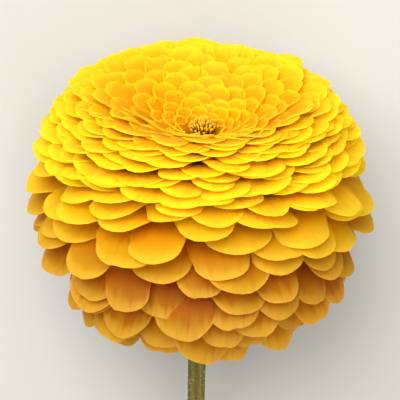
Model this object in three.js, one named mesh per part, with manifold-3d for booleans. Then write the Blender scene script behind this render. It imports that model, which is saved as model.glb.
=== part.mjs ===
// A double zinnia, picked with its stalk and laid on its side: ray petals set in a spiral on a
// conical receptacle, a button of disc florets in the middle, a cup of green bracts under the
// head, and the stem. Millimetres, +Z up. The head faces -Y, raised a little, because it lies on
// its lower petals and on the cut end of the stem. The origin is on the surface, under the middle.
import * as THREE from "three";
import { mergeGeometries, mergeVertices } from "three/addons/utils/BufferGeometryUtils.js";
import Module from "manifold-3d";

const wasm = await Module();
wasm.setup();

// Heights are from the head's widest level, along its own axis.
const petalCount = 330;
const petalThickness = 0.8;
const petalShape = { claw: 0.08, shoulder: 0.68, tipRound: 0.06 }; // as shares of its width or length
const petalVariety = { angle: 0.05, reach: 0.045, raise: 1.0, width: 0.08, roll: 0.06, sweep: 0.03, cup: 0.4 };
const petalSeed = 20260;
const innerShare = 0.8; // of the petals; those past it are small
const coreBottom = -9;
const coreTop = 19;
const seatGap = 0.3; // between the pieces, where they grow into each other
const floretCount = 19;
const floretRadius = 0.62;
const discRadius = 2.9;
const discSeed = 77;
const scaleCount = 26;
const scaleThickness = 1;
const stemTop = -23.5;
const stemBottom = -150;
const stemRibs = 6;
const stemSag = 9; // how far the cut end bends down towards the surface
const petalPress = 5; // how far the head's weight bends its lowest petals
const stemPress = 0.5; // and how much of the stem's cut end is flat
const meshDetail = 0.02;

const goldenAngle = Math.PI * (3 - Math.sqrt(5));

// The head's form, from the lowest petals to the innermost: at is the share of the petals passed,
// root, bend and tip are [radius, height] of the midrib's three control points, width is the
// petal's, and cup is how far its edges stand above its midrib.
const headForm = [
  { at: 0.0, root: [7.0, -8.0], bend: [29, -1.0], tip: [39.0, -42.0], width: 18.5, cup: -1.5 },
  { at: 0.075, root: [7.2, -7.2], bend: [33, 1.0], tip: [46.0, -35.5], width: 18.5, cup: -1.5 },
  { at: 0.15, root: [7.2, -6.0], bend: [36, 3.5], tip: [50.5, -26.5], width: 18.0, cup: -1.3 },
  { at: 0.225, root: [7.2, -4.4], bend: [36, 6.5], tip: [54.0, -16.0], width: 17.5, cup: -1.0 },
  { at: 0.3, root: [7.0, -2.4], bend: [34, 9.5], tip: [55.0, -4.0], width: 17.0, cup: -0.6 },
  { at: 0.385, root: [6.8, 0.4], bend: [30, 14.0], tip: [54.5, 8.5], width: 16.0, cup: 0.2 },
  { at: 0.48, root: [6.4, 3.2], bend: [27, 18.0], tip: [51.5, 19.0], width: 15.0, cup: 0.8 },
  { at: 0.59, root: [5.9, 6.2], bend: [23, 22.5], tip: [45.5, 28.5], width: 13.5, cup: 1.1 },
  { at: 0.71, root: [5.2, 9.2], bend: [18, 26.0], tip: [36.5, 33.0], width: 11.5, cup: 1.1 },
  { at: 0.83, root: [4.3, 12.8], bend: [12.5, 26.0], tip: [24.5, 32.0], width: 8.5, cup: 1.0 },
  { at: 0.93, root: [3.3, 15.4], bend: [8.2, 23.0], tip: [13.5, 28.0], width: 5.6, cup: 0.8 },
  { at: 1.0, root: [2.5, 17.6], bend: [5.2, 21.0], tip: [7.0, 24.5], width: 3.4, cup: 0.6 },
];

// A small repeatable random draw, from 0 to 1.
function makeDraw(seed) {
  let state = seed >>> 0;
  return () => {
    state = (Math.imul(state, 1664525) + 1013904223) >>> 0;
    return state / 4294967296;
  };
}

const mix = (a, b, share) => a + (b - a) * share;

// The head's form at one share of the petals.
function formAt(share) {
  const last = headForm.length - 2;
  const found = headForm.findIndex((row, i) => i > last || share <= headForm[i + 1].at);
  const low = headForm[Math.min(found, last)];
  const high = headForm[Math.min(found, last) + 1];
  const part = (share - low.at) / (high.at - low.at);
  const pair = (key) => low[key].map((value, i) => mix(value, high[key][i], part));
  return {
    root: pair("root"),
    bend: pair("bend"),
    tip: pair("tip"),
    width: mix(low.width, high.width, part),
    cup: mix(low.cup, high.cup, part),
  };
}

// Half of a petal's or bract's width at s along it, as a share: a narrow claw, widest at
// shoulder, and a round tip.
function widthShare(s, claw, shoulder) {
  const rise = claw + (1 - claw) * Math.sin((Math.PI / 2) * Math.min(1, s / shoulder));
  const past = Math.max(0, (s - shoulder) / (1 - shoulder));
  return rise * Math.sqrt(1 - 0.5 * past ** 2.4);
}

// A closed thin blade: two sheets with the same triangles that meet along the outline. place
// gives the point at u across (-1 to 1), s along (0 to 1) and lift off the middle surface.
function bladeSolid(rows, thickness, place) {
  const sheets = [1, -1].map((side) => {
    const sheet = new THREE.PlaneGeometry(2, 1, 2, rows.length - 1);
    const position = sheet.getAttribute("position");
    for (let i = 0; i < position.count; i += 1) {
      const u = position.getX(i);
      const row = Math.round((position.getY(i) + 0.5) * (rows.length - 1));
      const inside = Math.abs(u) < 0.5 && row > 0 && row < rows.length - 1;
      const point = place(u, rows[row], inside ? (side * thickness) / 2 : 0);
      position.setXYZ(i, point.x, point.y, point.z);
    }
    if (side < 0) {
      sheet.index.array.reverse();
    }
    return sheet;
  });
  return solidOf(mergeGeometries(sheets));
}

function solidOf(geometry) {
  const bare = geometry.clone();
  bare.deleteAttribute("normal");
  bare.deleteAttribute("uv");
  const merged = mergeVertices(bare, 1e-4);
  return new wasm.Manifold(
    new wasm.Mesh({
      numProp: 3,
      vertProperties: new Float32Array(merged.getAttribute("position").array),
      triVerts: new Uint32Array(merged.index.array),
    }),
  );
}

// The outer skin of the largest body: hollows that the fusing sealed are filled, and slivers
// finer than meshDetail are smoothed away.
function wholeBody(solid) {
  const bodies = solid.decompose();
  const largest = bodies.reduce((best, body) => (body.volume() > best.volume() ? body : best));
  return largest.simplify(meshDetail);
}

function geometryOf(solid) {
  const mesh = solid.getMesh();
  const points = new Float32Array(mesh.numVert * 3);
  for (let i = 0; i < mesh.numVert; i += 1) {
    points.set(mesh.vertProperties.subarray(i * mesh.numProp, i * mesh.numProp + 3), i * 3);
  }
  const geometry = new THREE.BufferGeometry();
  geometry.setAttribute("position", new THREE.BufferAttribute(points, 3));
  geometry.setIndex(new THREE.BufferAttribute(new Uint32Array(mesh.triVerts), 1));
  geometry.computeVertexNormals();
  return geometry;
}

// A turned shape about the head's axis, from [radius, height] points.
function turned(profile, segments) {
  const lathe = new THREE.LatheGeometry(profile.map(([r, z]) => new THREE.Vector2(r, z)), segments);
  return lathe.rotateX(Math.PI / 2);
}

// One ray petal. Its midrib is a curve from root by bend to tip in a plane through the axis.
// Where it would reach under the surface it bends to lie along it.
function petal(index, draw, rest) {
  const form = formAt(index / (petalCount - 1));
  const vary = (key) => petalVariety[key] * (2 * draw() - 1);
  const angle = index * goldenAngle + vary("angle");
  const reach = 1 + vary("reach");
  const raise = vary("raise");
  const width = form.width * (1 + vary("width"));
  const roll = vary("roll");
  const sweep = vary("sweep");
  const cup = form.cup + vary("cup");
  const [root, bend] = [form.root, form.bend];
  const tip = [root[0] + (form.tip[0] - root[0]) * reach, form.tip[1] + raise];
  const at = (s, i) => (1 - s) ** 2 * root[i] + 2 * s * (1 - s) * bend[i] + s * s * tip[i];
  const slope = (s, i) => 2 * (1 - s) * (bend[i] - root[i]) + 2 * s * (tip[i] - bend[i]);
  const place = (u, s, lift) => {
    const along = s * (1 - petalShape.tipRound * u * u * s ** 6);
    const size = Math.hypot(slope(along, 0), slope(along, 1));
    const normal = [-slope(along, 1) / size, slope(along, 0) / size];
    const across = ((u * width) / 2) * widthShare(s, petalShape.claw, petalShape.shoulder);
    const off = lift + cup * u * u * Math.sin((Math.PI / 2) * s) + across * Math.sin(roll) * s;
    const turn = angle + sweep * s * s;
    const radius = at(along, 0) + normal[0] * off;
    const point = new THREE.Vector3(
      radius * Math.cos(turn) + across * Math.sin(turn),
      radius * Math.sin(turn) - across * Math.cos(turn),
      at(along, 1) + normal[1] * off,
    );
    const allowed = rest.floor - (lift < 0 ? petalThickness : 0);
    const excess = Math.max(0, point.dot(rest.down) - allowed);
    return point.addScaledVector(rest.down, -excess);
  };
  const small = index > petalCount * innerShare;
  const bent = place(0, 1, 0).dot(rest.down) > rest.floor - 1e-6;
  const rows = small ? [0, 0.7, 1] : bent ? [0, 0.45, 0.8, 0.94, 1] : [0, 0.48, 0.82, 1];
  return bladeSolid(rows, petalThickness, place);
}

function rayPetals(rest) {
  const draw = makeDraw(petalSeed);
  const core = turned(
    [[0, coreBottom], [8.2, coreBottom], [8.8, -3], [7, 8], [3.4, coreTop], [0, coreTop]],
    8,
  );
  const petals = Array.from({ length: petalCount }, (_, index) => petal(index, draw, rest));
  return wholeBody(wasm.Manifold.union([solidOf(core), ...petals]));
}

// The button in the middle: a low dome set with pointed buds in the same spiral.
function discFlorets() {
  const draw = makeDraw(discSeed);
  const base = coreTop + seatGap;
  const dome = turned([[0, base], [discRadius, base], [2.5, base + 1.2], [1.4, base + 2], [0, base + 2.3]], 10);
  const buds = Array.from({ length: floretCount }, (_, index) => {
    const radius = 0.86 * discRadius * Math.sqrt((index + 0.5) / floretCount);
    const length = 3.4 - 0.25 * radius + 0.5 * draw();
    const lean = 0.16 * radius;
    const bud = new THREE.ConeGeometry(floretRadius, length, 5).rotateX(Math.PI / 2);
    bud.translate(0, 0, length / 2);
    bud.rotateY(lean);
    bud.translate(radius, 0, base + 1.7 - 0.12 * radius * radius);
    return solidOf(bud.rotateZ(index * goldenAngle));
  });
  return wholeBody(wasm.Manifold.union([solidOf(dome), ...buds]));
}

// The green cup that held the bud: a bell with round-tipped scales laid on it in a spiral.
function involucre() {
  const top = coreBottom - seatGap;
  const bell = [[3.5, stemTop], [5.4, -21.8], [7.8, -18.5], [9.4, -14.5], [9.9, -11], [9.6, top]];
  const bellRadius = (height) => {
    const i = Math.max(1, bell.findIndex(([, z]) => z >= height));
    const [[r0, z0], [r1, z1]] = [bell[i - 1], bell[i]];
    return mix(r0, r1, (height - z0) / (z1 - z0));
  };
  const scales = Array.from({ length: scaleCount }, (_, index) => {
    const share = index / (scaleCount - 1);
    const [from, to] = [mix(-22.4, -16.2, share), mix(-16.8, top, share)];
    const width = mix(6.8, 6.0, share);
    return bladeSolid([0, 0.62, 1], scaleThickness, (u, s, lift) => {
      const height = mix(from, to, s);
      const across = ((u * width) / 2) * widthShare(s, 0.5, 0.5);
      const radius = bellRadius(height) + mix(-0.4, 0.75, s) + lift - 0.06 * across * across;
      const angle = index * goldenAngle;
      return new THREE.Vector3(
        radius * Math.cos(angle) - across * Math.sin(angle),
        radius * Math.sin(angle) + across * Math.cos(angle),
        height,
      );
    });
  });
  const cup = turned([[0, stemTop], ...bell, [0, top]], 14).rotateZ(0.1);
  return wholeBody(wasm.Manifold.union([solidOf(cup), ...scales]));
}

// The stem thickens under the head, has shallow ribs, and bends a little towards the surface.
function stem() {
  const top = stemTop - seatGap;
  const length = top - stemBottom;
  const radii = [[0, 0], [2.7, 0], [2.8, 0.2], [2.8, 0.4], [2.85, 0.6], [3.0, 0.8], [3.2, 0.92], [3.5, 1], [0, 1]];
  const shape = turned(radii.map(([r, s]) => [r, stemBottom + s * length]), 2 * stemRibs);
  const position = shape.getAttribute("position");
  for (let i = 0; i < position.count; i += 1) {
    const [x, y, z] = [position.getX(i), position.getY(i), position.getZ(i)];
    const rib = 1 + 0.05 * Math.cos(stemRibs * Math.atan2(y, x));
    position.setXYZ(i, x * rib, y * rib - stemSag * ((top - z) / length) ** 2, z);
  }
  return solidOf(shape);
}

// How far a solid reaches in one direction.
function reachOf(solid, direction) {
  const mesh = solid.getMesh();
  let most = -Infinity;
  for (let i = 0; i < mesh.numVert; i += 1) {
    const [x, y, z] = mesh.vertProperties.subarray(i * mesh.numProp, i * mesh.numProp + 3);
    most = Math.max(most, x * direction.x + y * direction.y + z * direction.z);
  }
  return most;
}

// Straight down, seen from the head, when its axis is raised by tilt.
const downAt = (tilt) => new THREE.Vector3(0, -Math.cos(tilt), -Math.sin(tilt));

// The pose at rest: the angle of the axis above the surface at which the bent petals and the cut
// end of the stem are equally low.
function restingPose(bloom, stalk) {
  const bloomLow = (tilt) => reachOf(bloom, downAt(tilt)) - petalPress;
  const stemLow = (tilt) => reachOf(stalk, downAt(tilt)) - stemPress;
  let [low, high] = [0, Math.PI / 4];
  for (let step = 0; step < 30; step += 1) {
    const tilt = (low + high) / 2;
    [low, high] = bloomLow(tilt) < stemLow(tilt) ? [low, tilt] : [tilt, high];
  }
  return { tilt: low, down: downAt(low), floor: bloomLow(low) };
}

const standing = { down: downAt(0), floor: Infinity };
const stemWhole = stem();
const rest = restingPose(rayPetals(standing), stemWhole);

// The stem's cut end is worn flat where it lies.
const ground = new THREE.BoxGeometry(400, 400, 100);
ground.translate(0, 0, rest.floor + 50);
ground.applyQuaternion(new THREE.Quaternion().setFromUnitVectors(new THREE.Vector3(0, 0, 1), rest.down));

const pieces = [
  ["ray_petals", rayPetals(rest), { color: 0xfac80c, roughness: 0.55 }],
  ["disc_florets", discFlorets(), { color: 0x9c7a1e, roughness: 0.7 }],
  ["involucre", involucre(), { color: 0x6f8a3a, roughness: 0.6 }],
  ["stem", wholeBody(stemWhole.subtract(solidOf(ground))), { color: 0x7c7a35, roughness: 0.65 }],
];

const head = new THREE.Group();
for (const [name, solid, finish] of pieces) {
  const mesh = new THREE.Mesh(geometryOf(solid), new THREE.MeshStandardMaterial({ metalness: 0, ...finish }));
  mesh.name = name;
  head.add(mesh);
}
head.rotation.x = Math.PI / 2 - rest.tilt;

const zinnia = new THREE.Group();
zinnia.add(head);
zinnia.updateMatrixWorld(true);
const bounds = new THREE.Box3().setFromObject(zinnia, true);
head.position.set(
  -(bounds.min.x + bounds.max.x) / 2,
  -(bounds.min.y + bounds.max.y) / 2,
  -bounds.min.z,
);

export default zinnia;
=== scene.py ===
import math

import bmesh
import bpy
from mathutils import Matrix, Vector


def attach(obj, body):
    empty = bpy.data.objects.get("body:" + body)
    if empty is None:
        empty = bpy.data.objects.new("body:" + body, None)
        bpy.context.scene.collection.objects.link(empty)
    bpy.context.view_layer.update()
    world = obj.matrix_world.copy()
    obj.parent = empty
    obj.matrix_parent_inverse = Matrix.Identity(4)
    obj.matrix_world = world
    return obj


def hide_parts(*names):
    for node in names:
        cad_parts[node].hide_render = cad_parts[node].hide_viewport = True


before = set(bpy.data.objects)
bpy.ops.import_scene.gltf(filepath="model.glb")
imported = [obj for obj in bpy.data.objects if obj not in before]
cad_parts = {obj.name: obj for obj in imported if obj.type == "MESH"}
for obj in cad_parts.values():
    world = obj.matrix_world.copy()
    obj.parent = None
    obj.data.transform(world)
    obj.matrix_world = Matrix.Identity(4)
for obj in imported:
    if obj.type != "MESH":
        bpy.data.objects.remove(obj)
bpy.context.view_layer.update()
bpy.ops.object.select_all(action="DESELECT")

# The flower is shaped standing up, in mm from the head's widest level, and then laid down with the
# head's axis tilt degrees above the surface.
lying = {"tilt": 16.18679, "place": (-0.6491, -50.37365, 52.422)}
mm = 0.001
goldenAngle = math.pi * (3 - math.sqrt(5))
laidOver = Matrix.Rotation(math.radians(90 - lying["tilt"]), 4, "X")
layDown = Matrix.Translation(Vector(lying["place"])) @ laidOver

# a plain generator, so that every run draws the same numbers from 0 to 1
drawRule = {"factor": 1664525, "step": 1013904223, "range": 2**32}


def makeDraw(seed):
    state = [seed]

    def draw():
        state[0] = (state[0] * drawRule["factor"] + drawRule["step"]) % drawRule["range"]
        return state[0] / drawRule["range"]

    return draw


def blend(a, b, share):
    return a + (b - a) * share


# A row of numbers between the two rows around at, which is the first number in each.
def between(rows, at):
    for low, high in zip(rows, rows[1:]):
        if at <= high[0]:
            break
    part = (at - low[0]) / (high[0] - low[0])
    return [blend(a, b, part) for a, b in zip(low, high)]


# 1 at the middle, falling softly to nothing on both sides.
def hump(at, middle, spread):
    return math.exp(-(((at - middle) / spread) ** 2))


# 0 up to a start, then evenly to 1.
def beyond(at, start):
    return max(0, (at - start) / (1 - start))


def linear(hexColour):
    values = [int(hexColour[i : i + 2], 16) / 255 for i in (0, 2, 4)]
    return [v / 12.92 if v <= 0.04045 else ((v + 0.055) / 1.055) ** 2.4 for v in values] + [1]


def colourStops(places, colours):
    return {"stops": [(at, linear(colour)) for at, colour in zip(places, colours)]}


# Small letters set a node's own property, capitals and numbers set an input. Map Range has its
# limits at 1 and 2 and what they become at 3 and 4, and a colour Mix has its colours at 6 and 7.
def addNode(tree, kind, settings={}, links={}):
    node = tree.nodes.new("ShaderNode" + kind)
    for key, value in settings.items():
        if key == "stops":
            node.color_ramp.elements.remove(node.color_ramp.elements[1])
            for i, (at, colour) in enumerate(value):
                stop = node.color_ramp.elements[0] if i == 0 else node.color_ramp.elements.new(at)
                stop.position = at
                stop.color = colour
        elif isinstance(key, str) and key[0].islower():
            setattr(node, key, value)
        else:
            node.inputs[key].default_value = value
    for key, socket in links.items():
        tree.links.new(socket, node.inputs[key])
    return node


ofColours = {"data_type": "RGBA"}  # for a Mix between colours
noiseSpan = {1: 0.3, 2: 0.7}  # Map Range limits that take in most of a noise


def newMaterial(name):
    material = bpy.data.materials.new(name)
    material.use_nodes = True
    material.node_tree.nodes.clear()
    return material, material.node_tree


def deselectAll():
    if bpy.context.object and bpy.context.object.mode != "OBJECT":
        bpy.ops.object.mode_set(mode="OBJECT")
    bpy.ops.object.select_all(action="DESELECT")


def selectOnly(piece):
    deselectAll()
    piece.select_set(True)
    bpy.context.view_layer.objects.active = piece


def editAll():
    bpy.ops.object.mode_set(mode="EDIT")
    bpy.ops.mesh.select_all(action="SELECT")


def selectVerts(mesh, test):
    edit = bmesh.from_edit_mesh(mesh)
    for vert in edit.verts:
        vert.select_set(test(vert.co))
    edit.select_flush_mode()
    bmesh.update_edit_mesh(mesh)


def joinAll(parts, name):
    deselectAll()
    for part in parts:
        part.select_set(True)
    bpy.context.view_layer.objects.active = parts[0]
    bpy.ops.object.join()
    piece = bpy.context.object
    piece.name = piece.data.name = name
    return piece


def copyOf(master):
    copy = master.copy()
    copy.data = master.data.copy()
    bpy.context.scene.collection.objects.link(copy)
    return copy


# One value for each vertex, or the same value for all of them.
def setAttribute(mesh, name, values):
    if not isinstance(values, list):
        values = [values] * len(mesh.vertices)
    kind = "FLOAT_VECTOR" if isinstance(values[0], tuple) else "FLOAT"
    layer = mesh.attributes.new(name, kind, "POINT")
    if kind == "FLOAT":
        layer.data.foreach_set("value", values)
    else:
        layer.data.foreach_set("vector", [n for value in values for n in value])


def thicken(piece, thickness):
    modifier = piece.modifiers.new("wall", "SOLIDIFY")
    modifier.thickness = thickness
    modifier.offset = 0
    bpy.context.view_layer.objects.active = piece
    bpy.ops.object.modifier_apply(modifier=modifier.name)


# A turned body built up from a ring of radius and height, extruded and resized level by level.
def extrudeRings(name, rings, sides):
    deselectAll()
    radius, height = rings[0]
    bpy.ops.mesh.primitive_circle_add(vertices=sides, radius=radius, fill_type="NGON", location=(0, 0, 0))
    body = bpy.context.object
    body.name = name
    editAll()
    bpy.ops.transform.translate(value=(0, 0, height))
    for (r0, z0), (r1, z1) in zip(rings, rings[1:]):
        bpy.ops.mesh.extrude_region_move(TRANSFORM_OT_translate={"value": (0, 0, z1 - z0)})
        bpy.ops.transform.resize(value=(r1 / r0, r1 / r0, 1), center_override=(0, 0, z1))
    bpy.ops.mesh.select_all(action="SELECT")
    bpy.ops.mesh.normals_make_consistent(inside=False)
    bpy.ops.object.mode_set(mode="OBJECT")
    return body


# How wide a blade is at a place along it, as a share of its widest.
def widthShare(s, outline):
    rise = outline["claw"] + (1 - outline["claw"]) * math.sin(math.pi / 2 * min(1, s / outline["shoulder"]))
    return rise * math.sqrt(1 - outline["narrow"] * beyond(s, outline["shoulder"]) ** outline["power"])


# A flat petal or bract from -1 to 1 across and 0 to 1 along, its rows drawn in to the outline.
def addFlatBlade(name, columns, rows, outline):
    deselectAll()
    bpy.ops.mesh.primitive_grid_add(x_subdivisions=columns, y_subdivisions=rows, size=2, calc_uvs=True)
    blade = bpy.context.object
    blade.name = name
    editAll()
    bpy.ops.transform.translate(value=(0, 1, 0))
    bpy.ops.transform.resize(value=(1, 0.5, 1), center_override=(0, 0, 0))
    for row in range(rows + 1):
        s = row / rows
        selectVerts(blade.data, lambda co: abs(co.y - s) < 1e-4)
        bpy.ops.transform.resize(value=(widthShare(s, outline), 1, 1), center_override=(0, s, 0))
    bpy.ops.object.mode_set(mode="OBJECT")
    return blade


# How far across a flat blade a vertex is, from -1 to 1 and in mm, and how much a round tip is cut
# back there.
def acrossBlade(vert, outline, width):
    share = widthShare(vert.co.y, outline)
    u = math.sin(math.pi / 2 * vert.co.x / share)
    return u, u * share * width / 2, 1 - math.sqrt(max(0, 1 - u * u))


# Lays the standing piece down in metres. What would be under the level is raised to it.
def layMesh(body, level=None):
    for vert in body.data.vertices:
        point = layDown @ vert.co
        if level is not None:
            point.z = max(point.z, level)
        vert.co = point * mm


def finishPiece(piece, nodeName, material, smoothAngle=50):
    selectOnly(piece)
    bpy.ops.object.shade_smooth_by_angle(angle=math.radians(smoothAngle))
    if material:
        piece.data.materials.clear()
        piece.data.materials.append(material)
    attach(piece, "root")
    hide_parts(nodeName)
    print(piece.name, len(piece.data.polygons), "faces")


# Zinnia ray petal: thin, matt, slightly velvety living tissue that grew in long veins. It gives a saturated
# golden yellow, deeper and more orange towards the claw, partly its own pigment and partly painted shade
# where the petals overlap, with a pale rim that is a painted highlight, and light shines through.
petalFinish = {
    # claw, throat, face and tip of a young petal, high on the head, of one near the middle of the head, and
    # of an old one low down, which is also painted darker for the shade under the crown
    "young": ["e06c1a", "e87812", "ffda18", "fffa40"],
    # painted shade: this palette's face and tip are deeper yellow for the shade in the cups round the disc
    "innerShaded": ["ea8412", "f49c0e", "fcba0c", "fee01c"],
    # painted shade: the old palette is darker partly for age and partly for the shade the skirt lies in
    "oldAndShaded": ["8c5210", "8e2c04", "a8760a", "e2ce2a"],
    # the throat runs far along, so that its painted shade shows between the overlapping tips
    "youngPlaces": (0.25, 0.67, 0.86, 0.99),
    "oldAndShadedPlaces": (0.3, 0.74, 0.9, 1.0),
    "ageingAndShade": (0.26, 0.52),  # places on the head between which old and shaded turns young and lit
    "deepening": (0.55, 0.78),  # and young turns inner, whose face and tip are painted a deeper yellow for the shade in the cupped petals round the disc
    "rimHighlight": ("e6c050", "ffea2c"),  # painted highlight on the rim; old then young, as in the pairs below
    "rimHighlightShare": 0.6,
    "rimHighlightSide": 0.86,  # where the rim starts, as a share of the half width
    "rimHighlightTip": 0.93,  # and of the length
    "rimHighlightSideShare": 0.4,
    "under": ("d2a238", "f6cc2c"),
    "underShare": 0.7,
    "vein": ("8c3c06", "dc8c0c"),
    "veinShare": 0.55,
    "veinEdge": (0.42, 0.66),  # of the noise; the closer, the sharper
    "veinSpacing": 1.2,  # mm; real veins are about half that, too fine to show
    "veinLength": 1.6,  # patches along a petal
    "veinDepth": 0.12,  # mm
    "bumpStrength": 0.8,
    "petalApart": 90,  # how far apart two petals lie in the noise
    "bleed": 0.07,  # share of the length that colour runs out along a vein
    "lightness": (0.92, 1.05),  # of the darkest petal and the lightest
    "glow": ("f2c02c", "fff04a"),  # the light that passes a petal
    "glowShare": 0.66,
    "roughness": 0.56,
    "specular": 0.15,
}


def makePetalMaterial():
    p = petalFinish
    material, tree = newMaterial("ray petal living tissue")
    uv = addNode(tree, "UVMap", {"uv_map": "UVMap"})
    parts = addNode(tree, "SeparateXYZ", {}, {0: uv.outputs[0]})
    across, along = parts.outputs[0], parts.outputs[1]
    tint = addNode(tree, "Attribute", {"attribute_name": "petalTint"}).outputs["Fac"]
    width = addNode(tree, "Attribute", {"attribute_name": "petalWidth"}).outputs["Fac"]
    youthAndLight = addNode(tree, "Attribute", {"attribute_name": "petalYouthAndLight"}).outputs["Fac"]
    under = addNode(tree, "Attribute", {"attribute_name": "petalUnder"}).outputs["Fac"]
    ageAndShade = addNode(tree, "MapRange", {1: p["ageingAndShade"][0], 2: p["ageingAndShade"][1]}, {0: youthAndLight}).outputs[0]

    # veins: noise drawn out along the petal
    inMm = addNode(tree, "Math", {"operation": "MULTIPLY"}, {0: across, 1: width})
    veinAcross = addNode(tree, "Math", {"operation": "DIVIDE", 1: p["veinSpacing"]}, {0: inMm.outputs[0]})
    veinAlong = addNode(tree, "Math", {"operation": "MULTIPLY", 1: p["veinLength"]}, {0: along})
    apart = addNode(tree, "Math", {"operation": "MULTIPLY", 1: p["petalApart"]}, {0: tint})
    veinPlace = addNode(
        tree, "CombineXYZ", {}, {0: veinAcross.outputs[0], 1: veinAlong.outputs[0], 2: apart.outputs[0]}
    )
    veinNoise = addNode(
        tree, "TexNoise", {"Scale": 1.0, "Detail": 2, "Roughness": 0.6}, {"Vector": veinPlace.outputs[0]}
    )
    veins = veinNoise.outputs["Fac"]
    veinMask = addNode(tree, "MapRange", {1: p["veinEdge"][0], 2: p["veinEdge"][1]}, {0: veins})

    # colour from the claw to the tip, darker towards the claw partly from the petal's own pigment and partly
    # as painted shade where the petal above overlaps it; it runs out along the veins
    bleed = addNode(tree, "MapRange", {**noiseSpan, 3: -p["bleed"], 4: p["bleed"]}, {0: veins})
    tone = addNode(tree, "Math", {"operation": "ADD"}, {0: along, 1: bleed.outputs[0]}).outputs[0]
    young = addNode(tree, "ValToRGB", colourStops(p["youngPlaces"], p["young"]), {0: tone})
    innerShaded = addNode(tree, "ValToRGB", colourStops(p["youngPlaces"], p["innerShaded"]), {0: tone})
    oldAndShaded = addNode(tree, "ValToRGB", colourStops(p["oldAndShadedPlaces"], p["oldAndShaded"]), {0: tone})
    depth = addNode(tree, "MapRange", {1: p["deepening"][0], 2: p["deepening"][1]}, {0: youthAndLight})
    upper = addNode(tree, "Mix", ofColours, {0: depth.outputs[0], 6: young.outputs[0], 7: innerShaded.outputs[0]})
    body = addNode(tree, "Mix", ofColours, {0: ageAndShade, 6: oldAndShaded.outputs[0], 7: upper.outputs[2]})

    # old, shaded and young, lit colours of the veins, the painted rim highlight, the underside and the light
    # that passes
    agedAndShaded = {}
    for name in ("vein", "rimHighlight", "under", "glow"):
        oldAndShadedColour, youngColour = (linear(colour) for colour in p[name])
        agedAndShaded[name] = addNode(tree, "Mix", {**ofColours, 6: oldAndShadedColour, 7: youngColour}, {0: ageAndShade}).outputs[2]
    veinShare = addNode(tree, "Math", {"operation": "MULTIPLY", 1: p["veinShare"]}, {0: veinMask.outputs[0]})
    veined = addNode(tree, "Mix", ofColours, {0: veinShare.outputs[0], 6: body.outputs[2], 7: agedAndShaded["vein"]})

    # painted highlight: a pale rim at the sides and the tip, where the thin edges catch the light
    centred = addNode(tree, "MapRange", {1: 0, 2: 1, 3: -1, 4: 1}, {0: across})
    offCentre = addNode(tree, "Math", {"operation": "ABSOLUTE"}, {0: centred.outputs[0]})
    side = addNode(tree, "MapRange", {1: p["rimHighlightSide"], 2: 1}, {0: offCentre.outputs[0]})
    end = addNode(tree, "MapRange", {1: p["rimHighlightTip"], 2: 1}, {0: along})
    faintSide = addNode(tree, "Math", {"operation": "MULTIPLY", 1: p["rimHighlightSideShare"]}, {0: side.outputs[0]})
    rimHighlight = addNode(tree, "Math", {"operation": "MAXIMUM"}, {0: faintSide.outputs[0], 1: end.outputs[0]})
    rimHighlightShare = addNode(tree, "Math", {"operation": "MULTIPLY", 1: p["rimHighlightShare"]}, {0: rimHighlight.outputs[0]})
    rimHighlighted = addNode(tree, "Mix", ofColours, {0: rimHighlightShare.outputs[0], 6: veined.outputs[2], 7: agedAndShaded["rimHighlight"]})

    # the paler underside, and each petal a little lighter or darker than the next
    underShare = addNode(tree, "Math", {"operation": "MULTIPLY", 1: p["underShare"]}, {0: under})
    sided = addNode(
        tree, "Mix", ofColours, {0: underShare.outputs[0], 6: rimHighlighted.outputs[2], 7: agedAndShaded["under"]}
    )
    light = addNode(tree, "MapRange", {1: 0, 2: 1, 3: p["lightness"][0], 4: p["lightness"][1]}, {0: tint})
    colour = addNode(tree, "HueSaturation", {}, {"Value": light.outputs[0], "Color": sided.outputs[2]})

    relief = {"Strength": p["bumpStrength"], "Distance": p["veinDepth"] * mm}
    bump = addNode(tree, "Bump", relief, {"Height": veins})
    surface = addNode(
        tree,
        "BsdfPrincipled",
        {"Roughness": p["roughness"], "Specular IOR Level": p["specular"]},
        {"Base Color": colour.outputs[0], "Normal": bump.outputs[0]},
    )
    glow = addNode(tree, "BsdfTranslucent", {}, {"Color": agedAndShaded["glow"], "Normal": bump.outputs[0]})
    mixed = addNode(tree, "MixShader", {0: p["glowShare"]}, {1: surface.outputs[0], 2: glow.outputs[0]})
    addNode(tree, "OutputMaterial", {}, {0: mixed.outputs[0]})
    return material


# Disc floret buds: tiny waxy tubes, olive brown at the foot and golden at the closed tip.
floretFinish = {
    "colours": ["4a340a", "9a6c12", "e8ac1e"],
    "places": (0.1, 0.55, 0.95),  # shares of the height
    "grain": 1800,  # per metre, about half a millimetre
    "grainDepth": 0.06,  # mm
    "bumpStrength": 0.5,
    "drift": 0.12,  # share of the height that colour wanders
    "roughness": 0.6,
    "specular": 0.2,
}


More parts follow.
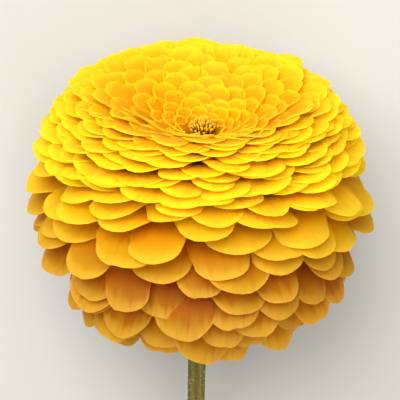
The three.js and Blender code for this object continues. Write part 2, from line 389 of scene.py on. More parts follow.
def makeFloretMaterial():
    p = floretFinish
    material, tree = newMaterial("disc floret waxy bud")
    height = addNode(tree, "Attribute", {"attribute_name": "budHeight"})
    place = addNode(tree, "TexCoord").outputs["Object"]
    noise = addNode(tree, "TexNoise", {"Scale": p["grain"], "Detail": 2}, {"Vector": place}).outputs["Fac"]
    drift = addNode(tree, "MapRange", {**noiseSpan, 3: -p["drift"], 4: p["drift"]}, {0: noise})
    tone = addNode(tree, "Math", {"operation": "ADD"}, {0: height.outputs["Fac"], 1: drift.outputs[0]})
    body = addNode(tree, "ValToRGB", colourStops(p["places"], p["colours"]), {0: tone.outputs[0]})
    relief = {"Strength": p["bumpStrength"], "Distance": p["grainDepth"] * mm}
    bump = addNode(tree, "Bump", relief, {"Height": noise})
    surface = addNode(
        tree,
        "BsdfPrincipled",
        {"Roughness": p["roughness"], "Specular IOR Level": p["specular"]},
        {"Base Color": body.outputs[0], "Normal": bump.outputs[0]},
    )
    addNode(tree, "OutputMaterial", {}, {0: surface.outputs[0]})
    return material


# Zinnia bracts: firm leafy scales with a papery brown-black margin that dried as the head opened.
bractFinish = {
    "colours": ["5f7a34", "88a24a"],  # foot and face
    "places": (0.1, 0.7),
    "margin": "35210f",
    "marginEdge": (0.42, 0.58),
    "marginPowers": (4, 6),  # at the sides and the tip; the higher, the narrower
    "vein": "6d8a3c",
    "veinEdge": (0.4, 0.65),  # of the noise
    "veinShare": 0.7,
    "veins": 11,  # across a bract
    "veinLength": 1.2,  # patches along it
    "veinDepth": 0.12,  # mm
    "bumpStrength": 0.6,
    "bractApart": 60,  # how far apart two bracts lie in the noise
    "drift": 0.12,  # how far the margin's edge wanders
    "roughness": 0.5,
}


def makeBractMaterial():
    p = bractFinish
    material, tree = newMaterial("bract firm leaf tissue")
    uv = addNode(tree, "UVMap", {"uv_map": "UVMap"})
    parts = addNode(tree, "SeparateXYZ", {}, {0: uv.outputs[0]})
    across, along = parts.outputs[0], parts.outputs[1]
    tint = addNode(tree, "Attribute", {"attribute_name": "petalTint"}).outputs["Fac"]

    lineAcross = addNode(tree, "Math", {"operation": "MULTIPLY", 1: p["veins"]}, {0: across})
    lineAlong = addNode(tree, "Math", {"operation": "MULTIPLY", 1: p["veinLength"]}, {0: along})
    apart = addNode(tree, "Math", {"operation": "MULTIPLY", 1: p["bractApart"]}, {0: tint})
    place = addNode(
        tree, "CombineXYZ", {}, {0: lineAcross.outputs[0], 1: lineAlong.outputs[0], 2: apart.outputs[0]}
    )
    lineNoise = addNode(tree, "TexNoise", {"Scale": 1.0, "Detail": 3}, {"Vector": place.outputs[0]})
    lines = lineNoise.outputs["Fac"]
    lineShare = addNode(
        tree, "MapRange", {1: p["veinEdge"][0], 2: p["veinEdge"][1], 3: 0, 4: p["veinShare"]}, {0: lines}
    )
    body = addNode(tree, "ValToRGB", colourStops(p["places"], p["colours"]), {0: along})
    lined = addNode(
        tree, "Mix", {**ofColours, 7: linear(p["vein"])}, {0: lineShare.outputs[0], 6: body.outputs[0]}
    )

    # the dark margin at the sides, more towards the tip, and round the tip
    centred = addNode(tree, "MapRange", {1: 0, 2: 1, 3: -1, 4: 1}, {0: across})
    offCentre = addNode(tree, "Math", {"operation": "ABSOLUTE"}, {0: centred.outputs[0]})
    sidePower, tipPower = p["marginPowers"]
    nearSide = addNode(tree, "Math", {"operation": "POWER", 1: sidePower}, {0: offCentre.outputs[0]})
    nearTip = addNode(tree, "Math", {"operation": "POWER", 1: tipPower}, {0: along})
    sideHigh = addNode(tree, "Math", {"operation": "MULTIPLY"}, {0: nearSide.outputs[0], 1: along})
    edge = addNode(tree, "Math", {"operation": "MAXIMUM"}, {0: sideHigh.outputs[0], 1: nearTip.outputs[0]})
    drift = addNode(tree, "MapRange", {**noiseSpan, 3: -p["drift"], 4: p["drift"]}, {0: lines})
    raggedEdge = addNode(tree, "Math", {"operation": "ADD"}, {0: edge.outputs[0], 1: drift.outputs[0]})
    margin = addNode(
        tree, "MapRange", {1: p["marginEdge"][0], 2: p["marginEdge"][1]}, {0: raggedEdge.outputs[0]}
    )
    colour = addNode(
        tree, "Mix", {**ofColours, 7: linear(p["margin"])}, {0: margin.outputs[0], 6: lined.outputs[2]}
    )
    relief = {"Strength": p["bumpStrength"], "Distance": p["veinDepth"] * mm}
    bump = addNode(tree, "Bump", relief, {"Height": lines})
    surface = addNode(
        tree,
        "BsdfPrincipled",
        {"Roughness": p["roughness"]},
        {"Base Color": colour.outputs[2], "Normal": bump.outputs[0]},
    )
    addNode(tree, "OutputMaterial", {}, {0: surface.outputs[0]})
    return material


# Zinnia stalk: ribbed green bark, olive with browner grooves; grown, never worked.
stalkFinish = {
    "groove": "564c14",
    "ridge": "6f6a24",
    "blush": "8a6c38",
    "blushShare": 0.5,
    "blushEdge": (0.5, 0.7),  # of the noise
    "stretch": (1.4, 1.4, 0.06),  # of the lines, which run along the stalk
    "lines": 1.6,  # per mm before the stretch
    "lineDepth": 0.12,  # mm
    "bumpStrength": 0.7,
    "clouds": 0.09,  # per mm
    "drift": 0.35,  # how far a line moves the colour between groove and ridge
    "roughness": 0.55,
    "specular": 0.2,
}


def makeStalkMaterial():
    p = stalkFinish
    material, tree = newMaterial("stalk ribbed green bark")
    rest = addNode(tree, "Attribute", {"attribute_name": "restPlace"}).outputs["Vector"]
    ridge = addNode(tree, "Attribute", {"attribute_name": "ridge"}).outputs["Fac"]
    drawn = addNode(tree, "Mapping", {"Scale": p["stretch"]}, {0: rest})
    lineNoise = addNode(tree, "TexNoise", {"Scale": p["lines"], "Detail": 3}, {"Vector": drawn.outputs[0]})
    lines = lineNoise.outputs["Fac"]
    clouds = addNode(tree, "TexNoise", {"Scale": p["clouds"], "Detail": 2}, {"Vector": rest})
    drift = addNode(tree, "MapRange", {**noiseSpan, 3: -p["drift"], 4: p["drift"]}, {0: lines})
    share = addNode(tree, "Math", {"operation": "ADD", "use_clamp": True}, {0: ridge, 1: drift.outputs[0]})
    body = addNode(
        tree, "Mix", {**ofColours, 6: linear(p["groove"]), 7: linear(p["ridge"])}, {0: share.outputs[0]}
    )
    low, high = p["blushEdge"]
    blush = addNode(
        tree, "MapRange", {1: low, 2: high, 3: 0, 4: p["blushShare"]}, {0: clouds.outputs["Fac"]}
    )
    colour = addNode(
        tree, "Mix", {**ofColours, 7: linear(p["blush"])}, {0: blush.outputs[0], 6: body.outputs[2]}
    )
    relief = {"Strength": p["bumpStrength"], "Distance": p["lineDepth"] * mm}
    bump = addNode(tree, "Bump", relief, {"Height": lines})
    surface = addNode(
        tree,
        "BsdfPrincipled",
        {"Roughness": p["roughness"], "Specular IOR Level": p["specular"]},
        {"Base Color": colour.outputs[2], "Normal": bump.outputs[0]},
    )
    addNode(tree, "OutputMaterial", {}, {0: surface.outputs[0]})
    return material


# Pith: the pale spongy middle of the stalk, which a knife left flat and wet.
pithFinish = {
    "core": "d9dda0",
    "ring": "9fae5c",
    "cells": 2600,  # per metre, about 0.4 mm each
    "cellSpan": 0.7,  # distance from a cell's middle at which its colour is all ring
    "cellDepth": 0.08,  # mm
    "bumpStrength": 0.5,
    "roughness": 0.4,
}


def makePithMaterial():
    p = pithFinish
    material, tree = newMaterial("stalk pith cut with a knife")
    place = addNode(tree, "TexCoord").outputs["Object"]
    cells = addNode(tree, "TexVoronoi", {"Scale": p["cells"]}, {"Vector": place}).outputs["Distance"]
    share = addNode(tree, "MapRange", {1: 0, 2: p["cellSpan"]}, {0: cells})
    colour = addNode(
        tree, "Mix", {**ofColours, 6: linear(p["core"]), 7: linear(p["ring"])}, {0: share.outputs[0]}
    )
    relief = {"Strength": p["bumpStrength"], "Distance": p["cellDepth"] * mm}
    bump = addNode(tree, "Bump", relief, {"Height": cells})
    surface = addNode(
        tree,
        "BsdfPrincipled",
        {"Roughness": p["roughness"]},
        {"Base Color": colour.outputs[2], "Normal": bump.outputs[0]},
    )
    addNode(tree, "OutputMaterial", {}, {0: surface.outputs[0]})
    return material


# Hairs: fine clear bristles that grew on the stalk and look whitish.
hairFinish = {"dull": "b9b98a", "pale": "e2e2c4", "patches": 120, "roughness": 0.4}  # patches per metre


def makeHairMaterial():
    p = hairFinish
    material, tree = newMaterial("stalk hair clear bristle")
    place = addNode(tree, "TexCoord").outputs["Object"]
    noise = addNode(tree, "TexNoise", {"Scale": p["patches"]}, {"Vector": place})
    colour = addNode(
        tree, "Mix", {**ofColours, 6: linear(p["dull"]), 7: linear(p["pale"])}, {0: noise.outputs["Fac"]}
    )
    surface = addNode(
        tree, "BsdfPrincipled", {"Roughness": p["roughness"]}, {"Base Color": colour.outputs[2]}
    )
    addNode(tree, "OutputMaterial", {}, {0: surface.outputs[0]})
    return material


petalMaterial = makePetalMaterial()
floretMaterial = makeFloretMaterial()
bractMaterial = makeBractMaterial()
stalkMaterial = makeStalkMaterial()
pithMaterial = makePithMaterial()
hairMaterial = makeHairMaterial()
print("materials made")

# Ray petals, on one spiral from the lowest to the innermost.
rayPetals = {
    # name, first and last place on the head, number of petals, faces across and along
    "groups": [
        ("petals_skirt", 0, 0.43, 142, 12, 8),
        ("petals_crown", 0.433, 0.7, 245, 8, 6),
        ("petals_heart", 0.702, 1, 118, 8, 6),
    ],
    # place on the head from its lowest petals, 0, to its innermost, 1; radius and height of the root, of
    # the bend and of the tip; width; how far the sides cup up; how far the tip's lip turns down; all in mm
    "form": [
        [0.0, 7.0, -8.0, 29, -1.0, 39.0, -42.0, 18.5, -1.5, 0.9],
        [0.075, 7.2, -7.2, 33, 1.0, 46.0, -35.5, 18.5, -1.5, 0.9],
        [0.15, 7.2, -6.0, 36, 3.5, 50.5, -26.5, 18.0, -1.3, 0.9],
        [0.225, 7.2, -4.4, 36, 6.5, 54.0, -16.0, 17.5, -1.0, 0.9],
        [0.3, 7.0, -2.4, 36, 8.5, 54.5, -4.0, 19.0, -0.8, 1.0],
        [0.385, 6.8, 0.4, 33, 14.0, 54.0, 6.6, 20.0, -0.6, 1.2],
        [0.48, 6.4, 3.2, 29, 17.6, 50.2, 20.0, 16.0, 0.6, 1.2],
        [0.62, 5.8, 5.5, 24.0, 25.4, 43.8, 30.2, 14.6, 0.7, 0.9],
        [0.71, 5.2, 7.4, 19, 27.4, 35.8, 32.8, 12.8, 0.8, 0.3],
        [0.83, 4.3, 10.6, 13.2, 22.8, 24.4, 28.6, 10.8, 0.8, -0.2],
        [0.93, 3.3, 13.6, 8.2, 20.0, 13.6, 22.8, 7.6, 0.6, -0.2],
        [1.0, 3.1, 16.0, 5.2, 18.4, 7.2, 19.8, 4.4, 0.6, 0.0],
    ],
    "thickness": 0.32,  # mm
    # width at the foot as a share of the widest, how far along it is widest, and how much and how
    # late it narrows to the tip
    "outline": {"claw": 0.12, "shoulder": 0.68, "narrow": 0.22, "power": 2.4},
    "tipRound": 0.82,  # 1 is half a circle
    "seeds": (20260, 4711),  # of the form, and of the edges and tint
    # how much these vary either way: angles in radians, reach and width as shares, the rest in mm
    "variety": [
        ("angle", 0.09),
        ("reach", 0.05),
        ("raise", 1.5),
        ("width", 0.15),
        ("roll", 0.15),
        ("sweep", 0.12),
        ("cup", 0.8),
    ],
    "restless": 1.3,  # the lowest petals vary this much, and the innermost 1 less
    "fullWidth": 14,  # mm; narrower petals wave less
    "ruffle": (1.0, 0.4),  # mm that the sides wave, and the least share of that
    "ruffleTurns": 1.1,
    "ruffleShift": 1.2,  # between one side's wave and the other's
    "curl": 2.2,  # mm from the tip that curls down most to the one that curls up most
    "curlFrom": 0.6,  # share of the length, as in the next lines
    "lipFrom": 0.78,
    "lipLeast": 0.5,  # share of the form's lip that every petal has; the draw adds up to 1
    "cupFrom": 0.7,  # a petal whose sides cup up presses flat on the next one up to here
    "lean": 0.5,  # mm that one side is higher
    "looseRoll": 1.3,  # how much more the petals at the crown's lower edge tilt
    "looseAt": (0.45, 0.07),  # middle and spread, as places on the head
    "facing": (0.4, 0.15),  # where the front starts to differ from the back, and over how much
    "flatFront": 2.2,  # mm that the upper petals bend higher at the head's front, and lower at its back
    "backLip": 1.2,  # mm that their tips turn up at the back
    "rightIn": 2.8,  # mm that the crown is narrower on the picture's right
    "rightAt": (0.56, 0.14),  # as looseAt
    "sidePaintedLight": 0.12,  # painted light: the sides get the yellow of younger petals, for the light they catch
    "sidePaintedLightAt": (0.36, 0.15),  # as looseAt
    "notch": (0.02, 0.35, 0.2),  # share of the length, share of the petals without one, and its width
    "ragged": (0.004, 5),  # share of the length that the tip's edge wanders, and how fast
    "settle": 1.4,  # mm over which a petal bends to lie on the surface
    "clear": 0.05,  # mm kept above the surface
    "layerRise": 2.2,  # mm from the lowest pressed petal to the highest
}


# A point and a slope on the curve that leaves a towards b and ends at c.
def curvePoint(a, b, c, s):
    return [(1 - s) ** 2 * a[i] + 2 * s * (1 - s) * b[i] + s * s * c[i] for i in (0, 1)]


def curveSlope(a, b, c, s):
    return [2 * (1 - s) * (b[i] - a[i]) + 2 * s * (c[i] - b[i]) for i in (0, 1)]


# A world point in mm, bent up to lie on the surface.
def settled(point, level, reach):
    over = point.z - level - reach
    if over < 0:
        point.z = level + reach * math.exp(over / reach)
    return point


# A flat petal takes the form of its place on the head. draw varies the form, extra the edges and tint.
def shapePetal(blade, index, share, draw, extra):
    p = rayPetals
    row = between(p["form"], share)
    root, bend, tip, width, cup, lip = row[1:3], row[3:5], row[5:7], row[7], row[8], row[9]
    calm = p["restless"] - share
    vary = {key: size * calm * (2 * draw() - 1) for key, size in p["variety"]}
    angle = index * goldenAngle + vary["angle"]
    vary["roll"] *= 1 + p["looseRoll"] * hump(share, *p["looseAt"])
    frontStart, frontOver = p["facing"]
    front = math.sin(angle) * min(1, max(0, (share - frontStart) / frontOver))
    bend = [bend[0], bend[1] + p["flatFront"] * front]
    lip -= p["backLip"] * max(0, -front)
    inward = p["rightIn"] * max(0, -math.cos(angle)) * hump(share, *p["rightAt"])
    tip = [root[0] + (tip[0] - root[0]) * (1 + vary["reach"]) - inward, tip[1] + vary["raise"]]
    width *= 1 + vary["width"]
    cup += vary["cup"]
    length = (math.dist(root, bend) + math.dist(bend, tip) + math.dist(root, tip)) / 2
    tipDrop = p["tipRound"] * width / 2 / length

    small = min(1, width / p["fullWidth"])
    ruffleMost, ruffleLeast = p["ruffle"]
    ruffle = ruffleMost * small * calm**2 * (ruffleLeast + extra())
    ruffleTurns = p["ruffleTurns"] + extra()
    rufflePhase = 2 * math.pi * extra()
    curl = p["curl"] * small * calm * (extra() - 0.5)
    lip *= p["lipLeast"] + extra()
    lean = p["lean"] * small * (extra() - 0.5)
    notchSize, notchRare, notchWidth = p["notch"]
    notch = notchSize * max(0, extra() - notchRare)
    raggedSize, raggedTurns = p["ragged"]
    ragged = raggedSize * calm

    level = p["thickness"] / 2 + p["clear"] + p["layerRise"] * share
    points = []
    for vert in blade.data.vertices:
        s = vert.co.y
        u, across, cutBack = acrossBlade(vert, p["outline"], width)
        along = s * (1 - tipDrop * cutBack * s**3)
        along -= notch * hump(u, 0, notchWidth) * s**8
        along -= ragged * math.sin(raggedTurns * u + rufflePhase) * s**6
        # off is the distance from the petal's middle curve, along the curve's normal
        free = beyond(s, p["cupFrom"]) ** 2 if cup > 0 else math.sin(math.pi / 2 * s)
        wave = 2 * math.pi * ruffleTurns * s + rufflePhase + (p["ruffleShift"] if u > 0 else 0)
        off = cup * u * u * free + across * math.sin(vary["roll"]) * s
        off += ruffle * abs(u) ** 1.5 * s * math.sin(wave)
        off += curl * beyond(s, p["curlFrom"]) ** 2 + lean * u * s
        off -= lip * beyond(s, p["lipFrom"]) ** 2
        radius, height = curvePoint(root, bend, tip, along)
        outward, upward = curveSlope(root, bend, tip, along)
        size = math.hypot(outward, upward)
        radius -= upward / size * off
        height += outward / size * off
        turn = angle + vary["sweep"] * s * s
        x = radius * math.cos(turn) + across * math.sin(turn)
        y = radius * math.sin(turn) - across * math.cos(turn)
        points.append(settled(layDown @ Vector((x, y, height)), level, p["settle"]) * mm)
    for vert, point in zip(blade.data.vertices, points):
        vert.co = point

    setAttribute(blade.data, "petalTint", extra())
    setAttribute(blade.data, "petalWidth", width)
    # painted light: petals at the sides take a younger, yellower colour for the light that falls on them
    youthAndLight = share + p["sidePaintedLight"] * math.cos(angle) ** 2 * hump(share, *p["sidePaintedLightAt"])
    setAttribute(blade.data, "petalYouthAndLight", youthAndLight)


def makePetals():
    p = rayPetals
    draw, extra = (makeDraw(seed) for seed in p["seeds"])
    index = 0
    for name, first, last, number, columns, rows in p["groups"]:
        master = addFlatBlade("petal_blade", columns, rows, p["outline"])
        blades = []
        for step in range(number):
            blade = copyOf(master)
            shapePetal(blade, index, blend(first, last, step / (number - 1)), draw, extra)
            blades.append(blade)
            index += 1
        bpy.data.objects.remove(master)
        piece = joinAll(blades, name)
        thicken(piece, p["thickness"] * mm)
        half = len(piece.data.vertices) // 2  # the wall's upper side comes first
        setAttribute(piece.data, "petalUnder", [0.0] * half + [1.0] * half)
        finishPiece(piece, "ray_petals", petalMaterial)


# The receptacle that the petals grow from, hidden between their claws.
receptacle = {
    # radius and height
    "rings": [(8.2, -9.2), (8.6, -6), (8.5, -3), (7.8, 2), (6.8, 7.5), (5.2, 12.5), (3.5, 17.2), (3, 18.5)],
    "sides": 24,
    "tone": 0.3,  # a youth that gives it the colour of an old petal
}


def makeReceptacle():
    core = extrudeRings("receptacle", receptacle["rings"], receptacle["sides"])
    for layer in ("petalTint", "petalWidth", "petalYouthAndLight", "petalUnder"):
        setAttribute(core.data, layer, receptacle["tone"])
    layMesh(core)
    finishPiece(core, "ray_petals", petalMaterial)


makePetals()
makeReceptacle()
print("petals done")

# The button of unopened buds in the middle of the head.
discFlorets = {
    "count": 76,
    "seed": 77,
    "discRadius": 3.7,
    "spread": 0.9,  # share of the disc that the buds stand on
    "base": 18.4,
    # radius and height of a bud whose girth and length are 1
    "rings": [(0.28, 0), (0.26, 0.4), (0.3, 0.62), (0.36, 0.8), (0.3, 0.91), (0.14, 0.98), (0.02, 1.0)],
    "sides": 6,
    "length": (2.9, 1.5),  # mm, and by how much it varies
    "shorterOut": 0.2,  # mm for each mm from the middle
    "girth": (0.85, 0.3),
    "lean": (0.14, 0.3),  # radians for each mm from the middle, and by how much it varies
    "rise": 1.2,  # mm that the middle buds stand above the base
    "fall": 0.12,  # and how fast that grows less outwards
    # radius and height of the low dome under the buds
    "dome": [(3.2, -0.6), (3.2, 0), (2.8, 0.9), (1.7, 1.6), (0.3, 1.9)],
    "domeBase": 18.1,
    "domeSides": 20,
}


def makeDiscFlorets():
    p = discFlorets
    bud = extrudeRings("bud", p["rings"], p["sides"])
    draw = makeDraw(p["seed"])
    parts = []
    for index in range(p["count"]):
        part = copyOf(bud)
        radius = p["spread"] * p["discRadius"] * math.sqrt((index + 0.5) / p["count"])
        length = p["length"][0] - p["shorterOut"] * radius + p["length"][1] * draw()
        girth = p["girth"][0] + p["girth"][1] * draw()
        lean = p["lean"][0] * radius + p["lean"][1] * (draw() - 0.5)
        place = (
            Matrix.Rotation(index * goldenAngle, 4, "Z")
            @ Matrix.Translation((radius, 0, p["base"] + p["rise"] - p["fall"] * radius * radius))
            @ Matrix.Rotation(lean, 4, "Y")
            @ Matrix.Diagonal((girth, girth, length, 1))
        )
        setAttribute(part.data, "budHeight", [vert.co.z for vert in part.data.vertices])
        part.data.transform(place)
        parts.append(part)
    bpy.data.objects.remove(bud)
    dome = extrudeRings("dome", [(r, p["domeBase"] + z) for r, z in p["dome"]], p["domeSides"])
    setAttribute(dome.data, "budHeight", 0.0)
    piece = joinAll([dome] + parts, "floret_buds")
    layMesh(piece)
    finishPiece(piece, "disc_florets", floretMaterial)


makeDiscFlorets()
print("florets done")

# The green cup under the head: a bell, and the bracts that overlap on it.
bractCup = {
    # radius and height
    "bell": [
        (3.0, -25.6),
        (3.7, -24.6),
        (4.7, -23.4),
        (5.8, -21.8),
        (7.8, -18.5),
        (9.4, -14.5),
        (9.9, -11),
        (9.6, -9.3),
    ],
    "bellSides": 28,
    "bellBracts": 14,  # radians of the bell for each width of its pattern
    "bellAlong": 0.2,  # place along a bract that the bell is coloured like
    "bellTone": 0.5,
    "count": 26,
    "seed": 913,
    "faces": (6, 6),
    "outline": {"claw": 0.6, "shoulder": 0.5, "narrow": 0.35, "power": 2.4},
    "tipRound": 0.28,
    # height of the foot and of the tip, and width, each from the lowest bract to the highest
    "from": (-24.4, -16.2),
    "to": (-16.8, -9.3),
    "width": (6.8, 6.0),
    "off": (-0.3, 0.75),  # mm from the bell, at the foot and the tip
    "arch": 0.06,  # how much a bract arches round the bell, per mm
    "keel": (0.25, 0.15),  # mm that the middle stands out, and its width
    "tipOut": (1.2, 1.2),  # how far the tip turns out, and by how much it varies
    "tipFrom": 0.7,
    "thickness": 0.8,
}


def bellRadius(height):
    return between([[z, r] for r, z in bractCup["bell"]], height)[1]


def makeBracts():
    p = bractCup
    draw = makeDraw(p["seed"])
    flat = addFlatBlade("bract_blade", *p["faces"], p["outline"])
    parts = []
    for index in range(p["count"]):
        part = copyOf(flat)
        share = index / (p["count"] - 1)
        low, high, width = (blend(*p[key], share) for key in ("from", "to", "width"))
        angle = index * goldenAngle
        tipOut = p["tipOut"][0] + p["tipOut"][1] * draw()
        for vert in part.data.vertices:
            s = vert.co.y
            u, across, cutBack = acrossBlade(vert, p["outline"], width)
            height = blend(low, high, s - p["tipRound"] * s**3 * cutBack)
            radius = bellRadius(height) + blend(*p["off"], s) - p["arch"] * across * across
            radius += p["keel"][0] * hump(u, 0, p["keel"][1]) * (1 - s)
            radius += tipOut * max(0, s - p["tipFrom"]) ** 2
            vert.co = (
                radius * math.cos(angle) - across * math.sin(angle),
                radius * math.sin(angle) + across * math.cos(angle),
                height,
            )
        setAttribute(part.data, "petalTint", draw())
        parts.append(part)
    bpy.data.objects.remove(flat)
    piece = joinAll(parts, "bracts")
    selectOnly(piece)
    editAll()
    bpy.ops.mesh.flip_normals()
    bpy.ops.object.mode_set(mode="OBJECT")
    thicken(piece, p["thickness"])
    layMesh(piece)
    finishPiece(piece, "involucre", bractMaterial)


def makeBell():
    p = bractCup
    bell = extrudeRings("bract_bell", p["bell"], p["bellSides"])
    uv = bell.data.uv_layers.new(name="UVMap")
    for loop in bell.data.loops:
        co = bell.data.vertices[loop.vertex_index].co
        uv.data[loop.index].uv = (0.5 + math.atan2(co.y, co.x) / p["bellBracts"], p["bellAlong"])
    setAttribute(bell.data, "petalTint", p["bellTone"])
    layMesh(bell)
    finishPiece(bell, "involucre", bractMaterial)


makeBracts()
makeBell()
print("bracts done")

# The stalk, from its cut end to the cup.
stalk = {
    "top": -23.5,
    "length": 126.5,
    "sides": 36,
    "levels": 30,
    # share of the length, radius
    "radii": [[0, 2.75], [0.2, 2.85], [0.4, 2.85], [0.6, 2.95], [0.8, 3.15], [0.92, 3.3], [1, 3.55]],
    "ribs": 6,
    "ribDepth": 0.05,
    "sag": 9,  # mm that the cut end lies lower than a straight stalk's
    # size of a wave in the radius as a share of it, waves along, and turns round the stalk
    "wobble": [(0.015, 11, 2), (0.012, 29, 0)],
    "cut": [(0.14, 0), (0.26, 0), (0.25, -0.5)],  # bark, wall and hollow: share of the radius, and mm
    "cutReach": 0.6,  # mm from the end in which a face can be pith
}


def stalkShare(z):
    return 1 - (stalk["top"] - z) / stalk["length"]


def stalkRadius(z, angle):
    s = stalkShare(z)
    wobble = 1 + sum(size * math.sin(waves * s + turns * angle) for size, waves, turns in stalk["wobble"])
    rib = 1 + stalk["ribDepth"] * math.cos(stalk["ribs"] * angle)
    return between(stalk["radii"], min(1, max(0, s)))[1] * wobble * rib


def stalkPoint(z, angle, extra=0.0):
    radius = stalkRadius(z, angle) + extra
    drop = stalk["sag"] * (1 - stalkShare(z)) ** 2
    return Vector((radius * math.cos(angle), radius * math.sin(angle) - drop, z))


def makeStalk():
    p = stalk
    bottom = p["top"] - p["length"]
    rings = [(1, blend(bottom, p["top"], level / p["levels"])) for level in range(p["levels"] + 1)]
    body = extrudeRings("stalk", rings, p["sides"])

    # the cut end is the one face that looks down, drawn in three times
    bpy.ops.object.mode_set(mode="EDIT")
    bpy.ops.mesh.select_all(action="DESELECT")
    edit = bmesh.from_edit_mesh(body.data)
    for face in edit.faces:
        if face.normal.z < -0.9:
            face.select_set(True)
    bmesh.update_edit_mesh(body.data)
    for inset, depth in p["cut"]:
        bpy.ops.mesh.inset(thickness=inset, depth=depth)
    bpy.ops.object.mode_set(mode="OBJECT")
    body.data.materials.append(stalkMaterial)
    body.data.materials.append(pithMaterial)

    # the tube of radius 1 takes the stalk's ribs, girth and bend
    rest, ridge = [], []
    for vert in body.data.vertices:
        angle = math.atan2(vert.co.y, vert.co.x)
        share = math.hypot(vert.co.x, vert.co.y)
        edge = stalkPoint(vert.co.z, angle)
        middle = Vector((0, edge.y - stalkRadius(vert.co.z, angle) * math.sin(angle), vert.co.z))
        vert.co = middle.lerp(edge, share)
        rest.append(tuple(vert.co))
        ridge.append(0.5 + 0.5 * math.cos(p["ribs"] * angle))

    # pith shows inside the bark at the cut end; the hollow's floor, the one face there that isn't a
    # quad, stays dark
    for face in body.data.polygons:
        corners = [body.data.vertices[i].co for i in face.vertices]
        if len(corners) == 4 and all(co.z < bottom + p["cutReach"] for co in corners):
            outermost = max(math.hypot(co.x, co.y + p["sag"]) for co in corners)
            inside = outermost < p["radii"][0][1] and abs(face.normal.z) > 0.2
            face.material_index = 1 if inside else 0
    setAttribute(body.data, "restPlace", rest)
    setAttribute(body.data, "ridge", ridge)
    layMesh(body, 0.0)
    finishPiece(body, "stem", None, smoothAngle=40)


# Short hairs all over the stalk.
stalkHairs = {
    "count": 1100,
    "seed": 55,
    "length": (0.65, 0.78),  # mm, and by how much it varies
    "radius": 0.07,
    "rooted": 0.05,  # mm inside the bark
    "bareTop": 1,  # mm without hairs under the cup
    "bareEnds": 3,  # and at both ends together
    "lift": (0.9, 0.35),  # slant along the stalk, and the share of hairs that slant down
    "aside": 0.7,  # slant round the stalk
    "lowest": 0.1,  # mm; a hair that would reach the surface is left out
}


def makeHairs():
    p = stalkHairs
    deselectAll()
    bpy.ops.mesh.primitive_cone_add(
        vertices=3, radius1=p["radius"], radius2=0, depth=1, end_fill_type="NGON", location=(0, 0, 0)
    )
    hair = bpy.context.object
    editAll()
    bpy.ops.transform.translate(value=(0, 0, 0.5))
    bpy.ops.object.mode_set(mode="OBJECT")
    draw = makeDraw(p["seed"])
    parts = []
    for _ in range(p["count"]):
        z = stalk["top"] - p["bareTop"] - (stalk["length"] - p["bareEnds"]) * draw()
        angle = 2 * math.pi * draw()
        length = p["length"][0] + p["length"][1] * draw()
        foot = stalkPoint(z, angle, -p["rooted"])
        out = Vector((math.cos(angle), math.sin(angle), p["lift"][0] * (draw() - p["lift"][1])))
        out += Vector((-math.sin(angle), math.cos(angle), 0)) * p["aside"] * (draw() - 0.5)
        turn = out.to_track_quat("Z", "Y").to_matrix().to_4x4()
        place = layDown @ Matrix.Translation(foot) @ turn @ Matrix.Diagonal((1, 1, length, 1))
        if (place @ Vector((0, 0, 1))).z < p["lowest"]:
            continue
        part = copyOf(hair)
        part.data.transform(Matrix.Scale(mm, 4) @ place)
        parts.append(part)
    bpy.data.objects.remove(hair)
    piece = joinAll(parts, "stalk_hairs")
    finishPiece(piece, "stem", hairMaterial, smoothAngle=80)


makeStalk()
makeHairs()
print("stalk done")

# A plain pale floor, a pale world and three soft lights, with sizes in m and powers in W.
studio = {
    "floor": "aeaba4",
    "floorSize": 4,
    "worldLight": 0.6,
    "distance": 0.8,  # m from what a light is turned to
    # key and fill: degrees from the head's front side up to its axis, and how far aside
    "key": {"turn": 53, "aside": 0.35, "size": 0.6, "power": 9},
    "fill": {"turn": 44, "aside": -0.1, "size": 0.5, "power": 4},
    "back": {"from": (-0.45, 0.6, 0.66), "size": 0.6, "power": 2.4},
}
# degrees and mm; aim is a point of the standing flower
view = {"elevation": 30, "roll": 1.4, "aim": (0.3, 0, -6), "distance": 420, "fieldWidth": 128, "sensor": 36}

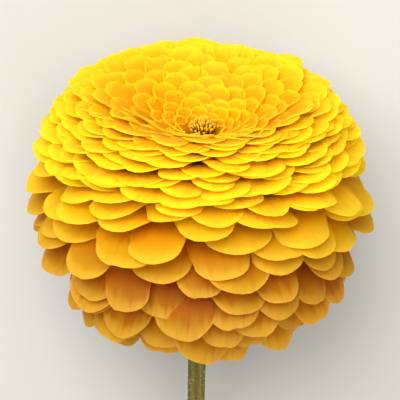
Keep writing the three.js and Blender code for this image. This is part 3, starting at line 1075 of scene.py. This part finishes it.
deselectAll()
bpy.ops.mesh.primitive_plane_add(size=studio["floorSize"])
floor = bpy.context.object
floor.name = "floor"
floorMaterial, floorTree = newMaterial("floor matt paint")
floorLook = {"Base Color": linear(studio["floor"]), "Roughness": 0.8}
floorSurface = addNode(floorTree, "BsdfPrincipled", floorLook)
addNode(floorTree, "OutputMaterial", {}, {0: floorSurface.outputs[0]})
floor.data.materials.append(floorMaterial)

world = bpy.data.worlds.new("studio")
bpy.context.scene.world = world
world.use_nodes = True
background = world.node_tree.nodes["Background"]
background.inputs[0].default_value = (1, 1, 1, 1)
background.inputs[1].default_value = studio["worldLight"]

turnOnly = layDown.to_3x3()


# A direction away from the head, so many degrees from its front side up to its axis.
def fromHead(degrees, aside=0):
    turn = math.radians(degrees)
    return (turnOnly @ Vector((aside, math.cos(turn), math.sin(turn)))).normalized()


# The camera sees the head from the photo's side, with the head's axis upright in the picture.
aim = layDown @ Vector(view["aim"])
back = fromHead(view["elevation"])
headAxis = turnOnly @ Vector((0, 0, 1))
up = (headAxis - back * headAxis.dot(back)).normalized()
side = up.cross(back)
cameraData = bpy.data.cameras.new("camera")
cameraData.sensor_width = view["sensor"]
cameraData.lens = view["sensor"] * view["distance"] / view["fieldWidth"]
cameraData.clip_start = 0.01
camera = bpy.data.objects.new("camera", cameraData)
bpy.context.scene.collection.objects.link(camera)
turned = Matrix((side, up, back)).transposed().to_4x4() @ Matrix.Rotation(math.radians(view["roll"]), 4, "Z")
camera.matrix_world = Matrix.Translation((aim + back * view["distance"]) * mm) @ turned
bpy.context.scene.camera = camera


def addLight(name, towards, target):
    data = bpy.data.lights.new(name, "AREA")
    data.size = studio[name]["size"]
    data.energy = studio[name]["power"]
    light = bpy.data.objects.new(name, data)
    bpy.context.scene.collection.objects.link(light)
    light.location = target + towards * studio["distance"]
    light.rotation_euler = towards.to_track_quat("Z", "Y").to_euler()


# the key, then a soft fill from nearer the camera that opens the gaps between the petals
for name in ("key", "fill"):
    addLight(name, fromHead(studio[name]["turn"], studio[name]["aside"]), aim * mm)
# a wide light behind shows the stalk and the green cup from the other side
addLight("back", Vector(studio["back"]["from"]).normalized(), Vector((0, 0, 0)))

bpy.context.scene.view_settings.view_transform = "Standard"
print("stage done")
